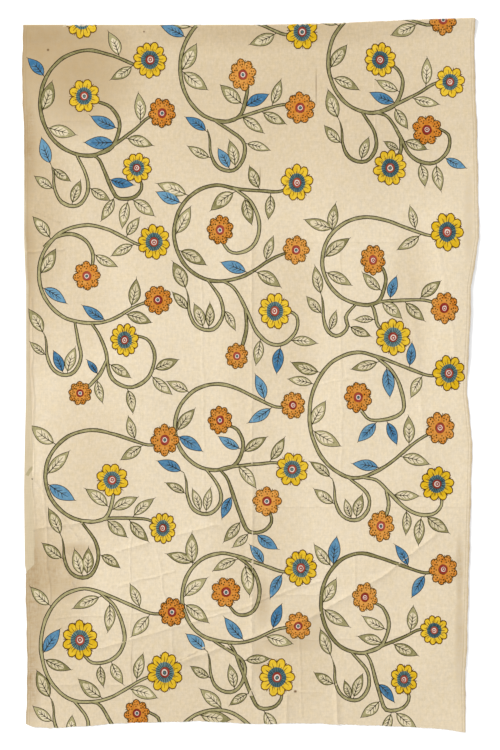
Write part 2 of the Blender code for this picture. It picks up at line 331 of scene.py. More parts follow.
def smooth_path(points, step=STROKE_STEP):
    """Evenly spaced points on a smooth curve through a few given ones."""
    given = np.array(points, float)
    ends = np.vstack([2 * given[0] - given[1], given, 2 * given[-1] - given[-2]])
    t = np.linspace(0, 1, 24, endpoint=False)[:, None]
    runs = []
    for a, b, c, d in zip(ends, ends[1:], ends[2:], ends[3:]):
        even = (2 * b + (c - a) * t + (2 * a - 5 * b + 4 * c - d) * t**2
                + (3 * b - a - 3 * c + d) * t**3)
        runs.append(even / 2)
    curve = np.vstack(runs + [given[-1:]])
    lengths = arc_lengths(curve)
    count = max(int(round(lengths[-1] / step)), 3)
    at = np.linspace(0, lengths[-1], count + 1)
    return spot_on(curve, lengths, at)


def arc_lengths(path):
    return np.concatenate([[0], np.cumsum(np.linalg.norm(np.diff(path, axis=0), axis=1))])


def spot_on(path, lengths, at):
    """The place, or places, at a length along a path."""
    return np.stack([np.interp(at, lengths, path[:, axis]) for axis in (0, 1)], -1)


def toward(angle):
    """A unit step at an angle."""
    return np.array([math.cos(angle), math.sin(angle)])


def leftward(direction):
    return np.array([-direction[1], direction[0]])


def sideways(path):
    """Unit directions to the left of a path."""
    along = np.gradient(path, axis=0)
    along /= np.maximum(np.linalg.norm(along, axis=1, keepdims=True), 1e-9)
    return np.stack([-along[:, 1], along[:, 0]], 1)


def band(path, left, right=None):
    """The outline of a stroke that reaches left and right of its path by given widths."""
    right = left if right is None else right
    out = sideways(path)
    left = np.broadcast_to(left, len(path))[:, None]
    right = np.broadcast_to(right, len(path))[:, None]
    return np.vstack([path + out * left, (path - out * right)[::-1]])


class Painting:
    """Strokes on the flat cut: rank, dye, outline and how full the brush was."""

    def __init__(self):
        self.strokes = []
        self.taken = np.empty((0, 3))

    def stroke(self, rank, dye, outline, load=0.5):
        self.strokes.append((RANK[rank], DYE_SLOT[dye], np.asarray(outline, float), load))

    def keep_clear(self, points, radius):
        """Marks painted ground, so that a later leaf finds bare cloth."""
        rows = np.c_[np.asarray(points), np.full(len(points), radius)]
        self.taken = np.vstack([self.taken, rows])

    def is_clear(self, points, radius, near, near_radius):
        gap = np.hypot(self.taken[:, 0] - near[0], self.taken[:, 1] - near[1])
        taken = self.taken[(gap > near_radius) & (gap < 0.2)]
        for point in points:
            gaps = np.hypot(taken[:, 0] - point[0], taken[:, 1] - point[1]) - taken[:, 2]
            if (gaps < radius).any():
                return False
        return True


def paint_stem(painting, path, thin_start, thin_end):
    """A green stem: ink on both edges and an uneven wash between them."""
    lengths = arc_lengths(path)
    share = lengths / lengths[-1]
    swell = np.sin(np.clip(share, 0, 1) * math.pi) ** 0.6
    ends = thin_start * (1 - share) + thin_end * share
    half = STEM_HALF_WIDTH * (ends + (1 - ends) * swell)
    halves = [half + unsteady(lengths, STEM_WANDER, wave) for wave in (0.09, 0.08)]
    painting.stroke("stem_ink", "outline_ink", band(path, *halves))
    lines = [INK_LINE + unsteady(lengths, LINE_WANDER, wave) for wave in (0.05, 0.06)]
    inner = [np.maximum(side - line, LEAST_WASH) for side, line in zip(halves, lines)]
    painting.stroke("stem_wash", "stem_green", band(path, *inner), hand.uniform())
    painting.keep_clear(path, STEM_SPACE)


def blade_width(along, half_width):
    """Half-width of a leaf from base to tip, fullest a little below its middle."""
    return half_width * np.sin(math.pi * np.clip(along, 0, 1) ** 0.86) ** 0.92


def paint_leaf(painting, root, heading, length, blue, bend, load):
    """A pointed leaf on a thin stalk: inked edge, washed rim, bare middle and inked veins."""
    stalk = 0.12 * length
    half_width = LEAF_HALF_WIDTH * length / LEAF_LENGTH * hand.uniform(0.88, 1.1)
    direction = toward(heading)
    across = leftward(direction)

    def place(along, side):
        """Leaf coordinates on the cloth, along the blade from its base and to its left."""
        along = np.asarray(along, float)
        bow = bend * length * (along**2 - 0.25 * along)
        reach = stalk + along * (length - stalk)
        return root + np.outer(reach, direction) + np.outer(bow + side, across)

    def blade(along, left, right):
        """A shape round the leaf's middle, from its half-widths on each side."""
        return np.vstack([place(along, left), place(along[::-1], -right[::-1])])

    stem = np.vstack([root, place(np.array([0.0, 0.06]), np.zeros(2))])
    painting.stroke("stalk_ink", "outline_ink", band(stem, STALK_HALF_WIDTH))
    edge = np.linspace(0, 1, 10)
    outer = blade_width(edge, half_width)
    outline = np.delete(blade(edge, outer, outer), (len(edge), -1), 0)
    painting.stroke("leaf_ink", "outline_ink", outline)
    inside = np.linspace(0.045, 0.95, 9)
    inner = np.maximum(blade_width(inside, half_width) - INK_LINE * 0.82, 0.0003)
    wash = "leaf_blue" if blue else "stem_green"
    painting.stroke("leaf_wash", wash, blade(inside, inner, inner), load)
    tip = np.array([0.96, 1.0, 1.0 + 0.05 * hand.uniform(0.6, 1.8)])
    hook = place(tip, np.array([0.0, 0.0, 0.002 * hand.uniform(-1, 1)]))
    painting.stroke("leaf_ink", "outline_ink", band(hook, np.array([0.0009, 0.0007, 0.0002])))
    if not blue:
        patch = np.linspace(0.10, hand.uniform(0.70, 0.82), 8)
        taper = blade_width(patch, half_width) * np.array([0.5, 0.9, 1, 1, 1, 1, 0.85, 0.3])
        ragged = [taper * hand.uniform(0.48, 0.74, len(patch)) for _ in range(2)]
        painting.stroke("leaf_bare", "leaf_cream", blade(patch, *ragged), load)
    rib_end = hand.uniform(0.62, 0.78)
    rib = np.linspace(0.02, rib_end, 4)
    rib_width = VEIN_HALF_WIDTH * np.array([1.25, 1.1, 0.9, 0.35])
    painting.stroke("leaf_vein", "outline_ink", band(place(rib, np.zeros(4)), rib_width))
    for along in (0.20, 0.34, 0.48):
        for side in (1, -1):
            reach = blade_width(along + 0.1, half_width) * hand.uniform(0.46, 0.68)
            ends = place(np.array([along, along + 0.14]), np.array([0.0, side * reach]))
            width = VEIN_HALF_WIDTH * np.array([0.9, 0.5])
            painting.stroke("leaf_vein", "outline_ink", band(ends, width))
    painting.keep_clear(place(np.linspace(0.1, 1, 6), np.zeros(6)), half_width * 0.85)


def grow_leaf(painting, path, node):
    """Finds bare cloth for a leaf beside its stem, leaning a little less or more if it must."""
    lengths = arc_lengths(path)
    at = (node.along + hand.uniform(-0.02, 0.02)) * lengths[-1]
    back, root, ahead = spot_on(path, lengths, at + np.array([-0.004, 0.0, 0.004]))
    along = math.atan2(*(ahead - back)[::-1])
    lean, size = node.lean + hand.uniform(-7, 7), node.size * hand.uniform(0.93, 1.07)
    blue = hand.uniform() < node.blue
    bend = hand.uniform(0.04, 0.15) * hand.choice([-1, 1])
    load = hand.uniform()
    for turn, scale in ((0, 1), (12, 1), (-12, 1), (24, 0.94), (-24, 0.94), (38, 0.9), (-38, 0.9),
                        (0, 0.8), (15, 0.8), (-15, 0.8), (52, 0.82), (-52, 0.82)):
        heading = along + node.side * math.radians(lean + turn)
        length = LEAF_LENGTH * size * scale
        direction = toward(heading)
        spots = root + np.outer(np.array([0.4, 0.6, 0.8, 1.0]) * length, direction)
        inside_selvages = np.abs(spots[:, 0] - LEAF_MIDDLE).max() < LEAF_LIMIT
        if inside_selvages and painting.is_clear(spots, LEAF_SPACE, root, 0.018):
            paint_leaf(painting, root, heading, length, blue, bend, load)
            return


class Blossom:
    """Brush touches round a blossom's middle, with the blossom a little taller than wide."""

    def __init__(self, painting, centre, radius):
        self.painting, self.centre, self.radius = painting, centre, radius
        self.stretch = np.array([hand.uniform(0.95, 1.02), hand.uniform(1.0, 1.14)])
        self.phase, self.load = hand.uniform(0, math.tau), hand.uniform(0.2, 0.8)

    def lay(self, rank, dye, outline, load=None):
        placed = self.centre + outline * self.radius * self.stretch
        self.painting.stroke(rank, dye, placed, self.load if load is None else load)

    def disc(self, rank, dye, radius, count, wobble=0.04, middle=(0, 0), load=None):
        """A round touch, a little out of true."""
        angles = np.arange(count) * math.tau / count + hand.uniform(0, math.tau)
        radii = radius * (1 + wobble * hand.uniform(-1, 1, count))
        outline = np.stack([radii * np.cos(angles), radii * np.sin(angles)], 1)
        self.lay(rank, dye, outline + np.asarray(middle), load)

    def ray(self, rank, dye, angle, near, far, half_width):
        """A short straight touch along a line from the middle."""
        direction = toward(angle)
        path = np.outer([near, far], direction)
        self.lay(rank, dye, band(path, half_width / self.radius * np.array([1.0, 0.45])))

    def petals(self, count, dye):
        """Round lobes side by side, inked round the outside and where they meet."""
        plump = math.tan(math.pi / count) * PETAL_PLUMPNESS
        out = 1 / (1 + PETAL_LENGTHENING * plump)
        spread, reach = out * plump, PETAL_LENGTHENING * out * plump
        edge = PETAL_LINE / self.radius / 2
        turns = np.arange(9) * math.tau / 9
        for index in range(count):
            angle = self.phase + index * math.tau / count + hand.uniform(-0.06, 0.06)
            direction = toward(angle)
            across = leftward(direction)
            middle = direction * out * hand.uniform(0.96, 1.05)
            for grow, rank, colour in ((edge, "petal_edge", "petal_ink"), (-edge, "petal_wash", dye)):
                lobe = middle + np.outer(np.cos(turns) * (reach + grow), direction)
                lobe = lobe + np.outer(np.sin(turns) * (spread + grow), across)
                self.lay(rank, colour, lobe, self.load + hand.uniform(-0.15, 0.15))
            notch = angle + math.pi / count
            self.ray("petal_mark", "petal_ink", notch, 0.93, 0.58, 0.0010)
        self.disc("petal_wash", dye, out * 1.02, 14)

    def heart(self, ring, spotted):
        """The eye: crimson round a white ring, with a red or a dark middle."""
        aside = hand.uniform(-0.02, 0.02, 2)
        self.disc("heart", "petal_ink", ring + 0.02, 14)
        self.disc("heart_ring", "ring_crimson", ring, 14, load=hand.uniform())
        self.disc("heart_eye", "eye_white", 0.170, 12, 0.07, aside)
        if spotted:
            self.disc("heart_dot", "outline_ink", 0.110, 9, 0.08, aside)
            self.disc("heart_core", "ring_teal", 0.070, 7, 0.08, aside)
        else:
            self.disc("heart_dot", "ring_crimson", 0.122, 9, 0.10, aside * 1.8)
            self.disc("heart_core", "eye_white", 0.052, 6, 0.12, aside * 1.8)


def paint_yellow_blossom(painting, centre, radius):
    blossom = Blossom(painting, centre, radius)
    count = int(hand.integers(8, 12))
    blossom.petals(count, "petal_yellow")
    for index in range(count):
        angle = blossom.phase + index * math.tau / count + hand.uniform(-0.1, 0.1)
        blossom.ray("petal_mark", "petal_ink", angle, 0.52, 0.78, 0.0009)
    blossom.disc("ring_wash", "ring_teal", 0.520, 20, load=hand.uniform())
    for index in range(TICK_COUNT):
        angle = blossom.phase + index * math.tau / TICK_COUNT + hand.uniform(-0.05, 0.05)
        blossom.ray("ring_tick", "tick_blue", angle, 0.28, hand.uniform(0.56, 0.70), 0.00095)
    blossom.heart(0.262, hand.uniform() < 0.4)


def paint_orange_blossom(painting, centre, radius):
    blossom = Blossom(painting, centre, radius)
    count = int(hand.integers(8, 10))
    blossom.petals(count, "petal_orange")
    for index in range(count):
        angle = blossom.phase + index * math.tau / count
        for out, aside in ((0.50, 0.0), (0.65, 0.15), (0.65, -0.15), (0.83, 0.10), (0.83, -0.12)):
            swing = angle + aside + hand.uniform(-0.03, 0.03)
            spot = out * hand.uniform(0.97, 1.03) * toward(swing)
            size = hand.uniform(0.0018, 0.0026) / radius
            blossom.disc("petal_mark", "petal_ink", size, 4, 0.1, spot)
    blossom.heart(0.320, hand.uniform() < 0.7)


def paint_blossom(painting, place, scale):
    centre = blossom_place(place)
    scale *= place[3] if len(place) > 3 else 1.0
    if place[2] == "y":
        paint_yellow_blossom(painting, centre, YELLOW_RADIUS * scale)
    else:
        paint_orange_blossom(painting, centre, ORANGE_RADIUS * scale)


def blossom_place(blossom):
    return np.array([blossom[0], TOP_Y - blossom[1]])


def curl_points(vine, centre, ring, turn_off):
    """The stem of the blossom inside the ring: from the ring's top, its shoulder or its foot."""
    inner = blossom_place(vine.b)
    if vine.curl == "spiral":
        far = centre + np.array([vine.share * vine.wide, -0.42 * vine.high])
        bend = inner + (far - inner) * (0.76, 0.40)
        last = inner + 0.030 * (bend - inner) / np.linalg.norm(bend - inner)
        return [ring(254), ring(276, 0.99), turn_off, far, bend, last]
    if vine.curl == "top":
        spots = ((-0.90, 0.55), (-0.66, 0.74), (-0.33, 0.82), (-0.03, 0.70), (0.14, 0.44), (0.13, 0.12))
        return [centre + np.array(spot) * (vine.wide, vine.high) for spot in spots]
    side, low = ring(8, vine.share), inner + (0.044, -0.058)
    last = inner + (0.008, -0.034)
    quarter = [low + (side - low) * (math.cos(t), 1 - math.sin(t)) for t in (0.0, 0.55, 1.05)]
    return [ring(70), ring(46, 0.99), ring(26, vine.share + 0.02), *quarter, low,
            low + (last - low) * (0.55, 0.18), last]


def between(start, end, share, aside):
    """A place some share of the way, and a little aside."""
    return start * (1 - share) + end * share + aside


def vine_paths(vine):
    """A creeper's stems as smooth paths in the cut's plane."""
    centre = np.array([vine.ring_x, TOP_Y - vine.ring_down])

    def ring(angle, share=1.0):
        turn = math.radians(angle)
        return centre + share * np.array([vine.wide * math.cos(turn), vine.high * math.sin(turn)])

    paths = {}
    first = blossom_place(vine.a)
    joint = ring(64, 1.02)
    main = [first, between(first, joint, 0.28, (0, -0.017)), between(first, joint, 0.62, (0, -0.010))]
    main += [joint] + [ring(angle) for angle in (92, 122, 152, 182, 212, 240, 268)]
    side = np.array([vine.share * vine.wide, vine.high])
    turn_off = centre + side * (0.74, -0.84)
    if vine.c:
        last, foot = blossom_place(vine.c), ring(268)
        if vine.curl == "spiral":
            main += [ring(288, 0.97), between(turn_off, last, 0.38, (0, 0.004))]
            main += [between(turn_off, last, 0.72, (0, 0.012)), last]
        else:
            main += [between(foot, last, 0.34, (0, -0.014)), between(foot, last, 0.72, (0, 0.002)), last]
    paths["main"] = smooth_path(main)
    if vine.b:
        paths["curl"] = smooth_path(curl_points(vine, centre, ring, turn_off))
    if vine.hook:
        bottom = np.array([vine.hook[0], TOP_Y - vine.hook[1]])
        foot = ring(256)
        drop = foot[1] - bottom[1]
        narrow = 0.72 if vine.turn == "short" else 1.0
        hook = [(0.034, drop * 0.62), (0.040, drop * 0.30), (0.022, 0.006), (-0.004, 0.0)]
        hook += [(-0.030, 0.014), (-0.044, 0.046), (-0.046, 0.080), (-0.052, 0.104)]
        hook = [foot] + [bottom + (x * narrow, y) for x, y in hook]
        paths["hook"] = smooth_path(hook)
    if vine.d:
        goal = blossom_place(vine.d)
        foot = ring(276)
        low, lifts, ends = REACHES[vine.turn]
        low = goal + low
        reach = [foot] + [between(foot, low, 0.25 * step, lift) for step, lift in enumerate(lifts, 1)]
        reach += [low] + [goal + end for end in ends]
        paths["reach"] = smooth_path(reach)
    if vine.e:
        goal = blossom_place(vine.e)
        source = paths.get("reach", paths["main"])
        fork = source[int(0.26 * len(source))]
        paths["drop"] = smooth_path([fork, between(fork, goal, 0.4, (0.012, 0)),
                                     between(fork, goal, 0.75, (0.010, 0)), goal])
    return paths


def paint_vines(vines):
    """All creepers of one layer: stems first, then leaves where there is room, then blossoms."""
    painting = Painting()
    grown = [(vine, vine_paths(vine)) for vine in vines]
    blossoms = [blossom for vine in vines for blossom in vine[4:9] if blossom] + list(LONE_BLOSSOMS)
    for blossom in blossoms:
        painting.keep_clear([blossom_place(blossom)], YELLOW_SPACE if blossom[2] == "y" else ORANGE_SPACE)
    ends = {"main": (0.72, 0.66), "curl": (0.62, 0.70), "hook": (0.66, 0.12), "reach": (0.66, 0.66),
            "drop": (0.60, 0.60)}
    for _, paths in grown:
        for name, path in paths.items():
            paint_stem(painting, path, *ends[name])
    for vine, paths in grown:
        stems = dict(paths)
        stems[vine.curl] = stems.pop("curl", None)
        for node in LEAF_NODES:
            if stems.get(node.stem) is not None:
                grow_leaf(painting, stems[node.stem], node)
    for blossom in blossoms:
        paint_blossom(painting, blossom, hand.uniform(0.93, 1.08))
    return painting


def moved_vine(vine, up):
    """The same creeper further along the cut."""
    moved = {key: (getattr(vine, key)[0], getattr(vine, key)[1] - up) + getattr(vine, key)[2:]
             for key in "abcde" if getattr(vine, key)}
    hook = (vine.hook[0], vine.hook[1] - up) if vine.hook else None
    return vine._replace(ring_down=vine.ring_down - up, hook=hook, **moved)


def upper_outline():
    """The upper layer's edge in the cut's plane, from the lower left hem round, with the fold's arc."""
    wander = hand.uniform(0, math.tau, 4)
    downs = np.arange(0.03, 1.755, EDGE_STEP)
    left = selvage("left", downs) + inset("upper_left", downs)
    right = selvage("right", downs)
    left = left + 0.0007 * np.sin(downs * 61 + wander[0]) + 0.0004 * np.sin(downs * 157 + wander[1])
    right = right + 0.0007 * np.sin(downs * 53 + wander[2]) + 0.0004 * np.sin(downs * 171 + wander[3])
    hem_x = np.linspace(left[-1], right[-1], int(2 * LOOM_WIDTH / EDGE_STEP))
    ragged = 0.0005 * np.sin(hem_x * 83) + hand.uniform(-0.0008, 0.0008, len(hem_x))
    hem = np.stack([hem_x, hem_y(hem_x) + ragged], 1)
    top_x = np.linspace(right[0], left[0], int(LOOM_WIDTH / EDGE_STEP))
    top = np.stack([top_x, fold_y(top_x) + FOLD_ARC], 1)
    arc = np.linspace(0, FOLD_ARC, ARC_ROWS + 1)[:-1]
    left_arc, right_arc = (np.stack([np.full(ARC_ROWS, x), fold_y(x) + up], 1)
                           for x, up in ((left[0], arc[::-1]), (right[0], arc)))
    left_side, right_side = (np.stack([side, TOP_Y - downs], 1) for side in (left, right))
    return np.vstack([hem, right_side[::-1][1:], right_arc, top, left_arc, left_side[:-1]])


def fold_y(x):
    """Where the upper layer ends and the fold's arc begins."""
    return TOP_Y - read_table(FOLD_LINE, "x", "down", x) - FOLD_RADIUS


def inside(outline, points):
    """Which points an outline goes round."""
    x, y = points[:, 0], points[:, 1]
    turns = np.zeros(len(points), int)
    for (x0, y0), (x1, y1) in zip(outline, np.roll(outline, -1, axis=0)):
        side = (x1 - x0) * (y - y0) - (x - x0) * (y1 - y0)
        turns += (y0 <= y) & (y1 > y) & (side > 0)
        turns -= (y0 > y) & (y1 <= y) & (side < 0)
    return turns != 0


class Cells:
    """Points sorted into square cells, so that those near an outline are found at once."""

    def __init__(self, points, size):
        self.points, self.size = points, size
        keys = np.floor(points / size).astype(int)
        order = np.lexsort((keys[:, 1], keys[:, 0]))
        self.found = {}
        starts = np.flatnonzero(np.any(np.diff(keys[order], axis=0, prepend=-9e8), axis=1))
        for start, end in zip(starts, [*starts[1:], len(order)]):
            self.found[tuple(keys[order[start]])] = order[start:end]

    def within(self, outline):
        """The indices of the points that an outline goes round."""
        low = np.floor(outline.min(0) / self.size).astype(int)
        high = np.floor(outline.max(0) / self.size).astype(int)
        near = [self.found[(i, j)] for i in range(low[0], high[0] + 1)
                for j in range(low[1], high[1] + 1) if (i, j) in self.found]
        if not near:
            return np.zeros(0, int)
        near = np.concatenate(near)
        return near[inside(outline, self.points[near])]


def shaping_points():
    """Rows of points along every crease and round the fold, so that each keeps its shape."""
    rows = []
    for fold in CREASES:
        start = np.array([fold.x_from, TOP_Y - fold.down_from])
        end = np.array([fold.x_to, TOP_Y - fold.down_to])
        length = np.linalg.norm(end - start)
        along = (end - start) / length
        across = leftward(along)
        reaches = np.arange(-0.5, length / FOLD_STEP + 0.5) * FOLD_STEP
        for aside in (-0.8, -0.45, -0.18, 0.0, 0.18, 0.45, 0.8):
            rows.append(start + np.outer(reaches, along) + across * aside * fold.reach)
    xs = np.arange(-0.555, 0.556, FOLD_STEP)
    before = -np.array([0.050, 0.040, 0.031, 0.022, 0.013, 0.005])
    for past in (*before, *np.linspace(0, FOLD_ARC, ARC_ROWS + 1)[:-1]):
        rows.append(np.stack([xs, fold_y(xs) + past], 1))
    return np.vstack(rows)


def ground_points(outline, pitch, strokes):
    """A grid over bare cloth, with room left round the strokes' own points."""
    low, high = outline.min(0), outline.max(0)
    xs = np.arange(low[0] + pitch / 2, high[0], pitch)
    ys = np.arange(low[1] + pitch / 2, high[1], pitch)
    shaping = shaping_points()
    folded = set(map(tuple, np.round(shaping / (1.4 * GROUND_CLEARANCE)).astype(int)))
    grid = np.stack(np.meshgrid(xs, ys), -1).reshape(-1, 2)
    spots = np.round(grid / (1.4 * GROUND_CLEARANCE)).astype(int)
    grid = np.vstack([grid[[tuple(spot) not in folded for spot in spots]], shaping])
    grid = grid[inside(outline, grid)]
    gap_x = np.abs(grid[:, None, 0] - outline[None, :, 0])
    gap_y = np.abs(grid[:, None, 1] - outline[None, :, 1])
    grid = grid[(gap_x + gap_y).min(1) > RIM_SPACE]
    drawn = np.vstack([stroke[2] for stroke in strokes] + [outline])
    filled = set(map(tuple, np.round(drawn / GROUND_CLEARANCE).astype(int)))
    free = [tuple(spot) not in filled for spot in np.round(grid / GROUND_CLEARANCE).astype(int)]
    return grid[np.array(free)]


def cut_by_strokes(outline, strokes, pitch):
    """Triangles of the flat cloth with each stroke's edge in them: points, faces, dye and load."""
    low, high = outline.min(0), outline.max(0)
    near = [s for s in strokes if (s[2].max(0) > low).all() and (s[2].min(0) < high).all()]
    points, edges = [], []
    for loop in [outline] + [stroke[2] for stroke in near]:
        first, count = len(points), len(loop)
        edges.extend((first + i, first + (i + 1) % count) for i in range(count))
        points.extend(loop)
    points.extend(ground_points(outline, pitch, near))
    made = delaunay_2d_cdt([Vector(p) for p in points], edges, [], 0, MERGE_DISTANCE, False)
    points, faces = np.array([tuple(p) for p in made[0]]), np.array(made[2])
    middles = points[faces].mean(1)
    cells = Cells(middles, CELL_SIZE)
    dye, load, kept = np.zeros(len(faces), int), np.full(len(faces), 0.5), np.zeros(len(faces), bool)
    kept[cells.within(outline)] = True
    for rank, slot, loop, full in sorted(near, key=lambda stroke: stroke[0]):
        under = cells.within(loop)
        dye[under], load[under] = slot, full
    faces = faces[kept]
    used = np.unique(faces)
    renumber = np.zeros(len(points), int)
    renumber[used] = np.arange(len(used))
    return points[used], renumber[faces].tolist(), dye[kept].tolist(), load[kept].tolist()


def rim_of(faces):
    """The points round the edge of a set of faces, in order."""
    sides = {(start, end) for face in faces for start, end in zip(face, face[1:] + face[:1])}
    after = {start: end for start, end in sides if (end, start) not in sides}
    rim = [min(after)]
    while after[rim[-1]] != rim[0]:
        rim.append(after[rim[-1]])
    return rim


def keep_fact(mesh, name, kind, domain, values):
    """Stores a fact for each point or face of a mesh."""
    kept = mesh.attributes.new(name, kind, domain)
    values = np.asarray(values, np.int32 if kind == "INT" else np.float32).ravel()
    kept.data.foreach_set("vector" if kind == "FLOAT_VECTOR" else "value", values)


def sheet_mesh(name, outline, strokes, reverse_strokes=()):
    """A closed flat sheet: painted face, reverse and the cut edge between them."""
    points, faces, dyes, loads = cut_by_strokes(outline, strokes, GRID_PITCH)
    rim = rim_of(faces)
    back_points, back_faces, back_dyes, back_loads = cut_by_strokes(
        points[rim], list(reverse_strokes), REVERSE_PITCH)
    back_dyes = [DYE_SLOT["reverse_cotton"] if dye == DYE_SLOT["bare_cotton"] else dye for dye in back_dyes]
    count = len(points)
    back_rim = np.array(rim_of(back_faces))
    gaps = np.abs(points[rim][:, None] - back_points[back_rim][None]).sum(-1)
    matched = (count + back_rim[gaps.argmin(1)]).tolist()
    flipped = (count + np.array(back_faces)[:, ::-1]).tolist()
    edge = [[rim[i - 1], rim[i], matched[i], matched[i - 1]][::-1] for i in range(len(rim))]
    dyes = dyes + back_dyes + [DYE_SLOT["reverse_cotton"]] * len(rim)
    loads = loads + back_loads + [0.5] * len(rim)
    back = np.c_[back_points, np.full(len(back_points), -CLOTH_THICKNESS)]
    flat = np.vstack([np.c_[points, np.zeros(count)], back])
    mesh = bpy.data.meshes.new(name)
    mesh.from_pydata(flat.tolist(), [], faces + flipped + edge)
    keep_fact(mesh, "dye", "INT", "FACE", dyes)
    keep_fact(mesh, "dye_load", "FLOAT", "FACE", loads)
    lay_out_bake(mesh, np.array(faces + flipped), dyes, flat[:, :2], len(edge))
    return mesh


def lay_out_bake(mesh, triangles, dyes, flat, edge_count):
    """Gives each dye's faces a tile of the colour sheet; the cut edge runs along a strip."""
    tiles = np.array([BAKE_TILES[dye] for dye in DYES])[np.repeat(dyes[:len(triangles)], 3)]
    share = (flat[triangles.ravel()] - flat.min(0)) / (flat.max(0) - flat.min(0))
    corners = tiles[:, :2] + share * (tiles[:, 2:] - tiles[:, :2])
    left, bottom, right, top = BAKE_TILES["cut_edge"]
    step = np.arange(edge_count)[:, None] / edge_count
    across = np.stack([step + a / edge_count for a in (0, 1, 1, 0)], 1).reshape(-1)
    up = np.tile([0.0, 0.0, 1.0, 1.0], edge_count)
    strip = np.stack([left + across * (right - left), bottom + up * (top - bottom)], 1)
    layout = mesh.uv_layers.new(name="OFBake")
    layout.data.foreach_set("uv", np.vstack([corners, strip]).astype(np.float32).ravel())


def store_flat_facts(mesh):
    """Keeps what the lay needs: the flat place, the fold's line and how far past it a point is."""
    count = len(mesh.vertices)
    flat = np.empty(count * 3)
    mesh.vertices.foreach_get("co", flat)
    flat = flat.reshape(-1, 3)
    line = fold_y(flat[:, 0])
    facts = {"fold_line": line, "past_fold": flat[:, 1] - line}
    shown_y = np.where(facts["past_fold"] > FOLD_ARC, 2 * line + FOLD_ARC - flat[:, 1], flat[:, 1])
    downs = TOP_Y - shown_y
    facts["from_left"] = flat[:, 0] - selvage("left", downs)
    facts["from_right"] = selvage("right", downs) - flat[:, 0]
    for name, values in facts.items():
        keep_fact(mesh, name, "FLOAT", "POINT", values)
    keep_fact(mesh, "cut_place", "FLOAT_VECTOR", "POINT", flat)


class Value:
    """A node's number, so that sums of nodes are written as sums."""

    def __init__(self, tree, socket):
        self.tree, self.socket = tree, socket

    def __add__(self, other):
        return self.tree.math("ADD", self, other)

    def __sub__(self, other):
        return self.tree.math("SUBTRACT", self, other)

    def __rsub__(self, other):
        return self.tree.math("SUBTRACT", other, self)

    def __mul__(self, other):
        return self.tree.math("MULTIPLY", self, other)

    def __truediv__(self, other):
        return self.tree.math("DIVIDE", self, other)

    def __abs__(self):
        return self.tree.math("ABSOLUTE", self)

    def above(self, least=0.0):
        return self.tree.math("MAXIMUM", self, least)

    def held(self):
        """Kept from 0 to 1."""
        return self.tree.math("MINIMUM", self.above(), 1.0)


class Tree:
    """Builds a node tree a line at a time."""

    def __init__(self, tree):
        self.tree, self.nodes, self.links = tree, tree.nodes, tree.links

    def add(self, kind, values=None, **settings):
        node = self.nodes.new(kind)
        for name, value in settings.items():
            setattr(node, name, value)
        for socket, value in (values or {}).items():
            self.feed(node.inputs[socket], value)
        return node

    def get(self, kind, values=None, output=0, **settings):
        """The value that a new node gives."""
        return Value(self, self.add(kind, values, **settings).outputs[output])

    def feed(self, socket, value):
        if isinstance(value, Value):
            self.links.new(value.socket, socket)
        else:
            socket.default_value = value

    def math(self, operation, a, b=0.0, c=0.0):
        return self.get("ShaderNodeMath", {0: a, 1: b, 2: c}, operation=operation)

    def vector(self, operation, a, b=(0, 0, 0)):
        output = "Value" if operation in ("LENGTH", "DISTANCE", "DOT_PRODUCT") else "Vector"
        return self.get("ShaderNodeVectorMath", {0: a, 1: b}, output, operation=operation)

    def scaled(self, vector, scale):
        return self.get("ShaderNodeVectorMath", {0: vector, "Scale": scale}, operation="SCALE")

    def joined(self, x, y, z):
        return self.get("ShaderNodeCombineXYZ", {"X": x, "Y": y, "Z": z})

    def all_of(self, node):
        """Each value that a node gives, by name."""
        return {socket.name: Value(self, socket) for socket in node.outputs if socket.name}

    def split(self, vector):
        return list(self.all_of(self.add("ShaderNodeSeparateXYZ", {0: vector})).values())

    def place(self):
        """The cloth's own coordinates."""
        return self.get("ShaderNodeTexCoord", None, "Object")

    def stored(self, name):
        """A fact kept on the mesh, read by a material."""
        return self.get("ShaderNodeAttribute", None, "Fac", attribute_name=name, attribute_type="GEOMETRY")

    def give(self, **results):
        """Ends a group with its results, and hands it over."""
        ending = self.add("NodeGroupOutput")
        for name, value in results.items():
            self.feed(ending.inputs[name.replace("_", " ")], value)
        return self.tree


def new_group(name, kind, inputs, outputs):
    """A node group, its tree and its given values. Sockets come with a kind, or a number to start from."""
    group = bpy.data.node_groups.new(name, kind)
    for side, sockets in (("INPUT", inputs), ("OUTPUT", outputs)):
        for label, given in sockets.items():
            plain = not isinstance(given, str)
            socket_kind = "NodeSocketFloat" if plain else "NodeSocket" + given
            socket = group.interface.new_socket(label, in_out=side, socket_type=socket_kind)
            if plain:
                socket.default_value = given
    tree = Tree(group)
    return tree, tree.all_of(tree.add("NodeGroupInput")) if inputs else {}


FOLD_INPUTS = {"Place": "Vector", "From": "Vector", "To": "Vector", "Rise": 0.0, "Reach": 0.0}


def fold_values(row, place):
    """One fold as the inputs of its group."""
    return {"Place": place, "From": (row.x_from, TOP_Y - row.down_from, 0),
            "To": (row.x_to, TOP_Y - row.down_to, 0), "Rise": row.rise, "Reach": row.reach}


def nearness(tree, given):
    """1 on a fold's run, falling evenly to 0 at its reach."""
    run = tree.vector("SUBTRACT", given["To"], given["From"])
    offset = tree.vector("SUBTRACT", given["Place"], given["From"])
    along = tree.vector("DOT_PRODUCT", offset, run) / tree.vector("DOT_PRODUCT", run, run)
    gap = tree.vector("DISTANCE", offset, tree.scaled(run, along.held()))
    return (1.0 - gap / given["Reach"]).above()


def eased(near):
    """A share from 0 to 1 that starts and stops softly."""
    return near * near * (3.0 - near * 2.0)


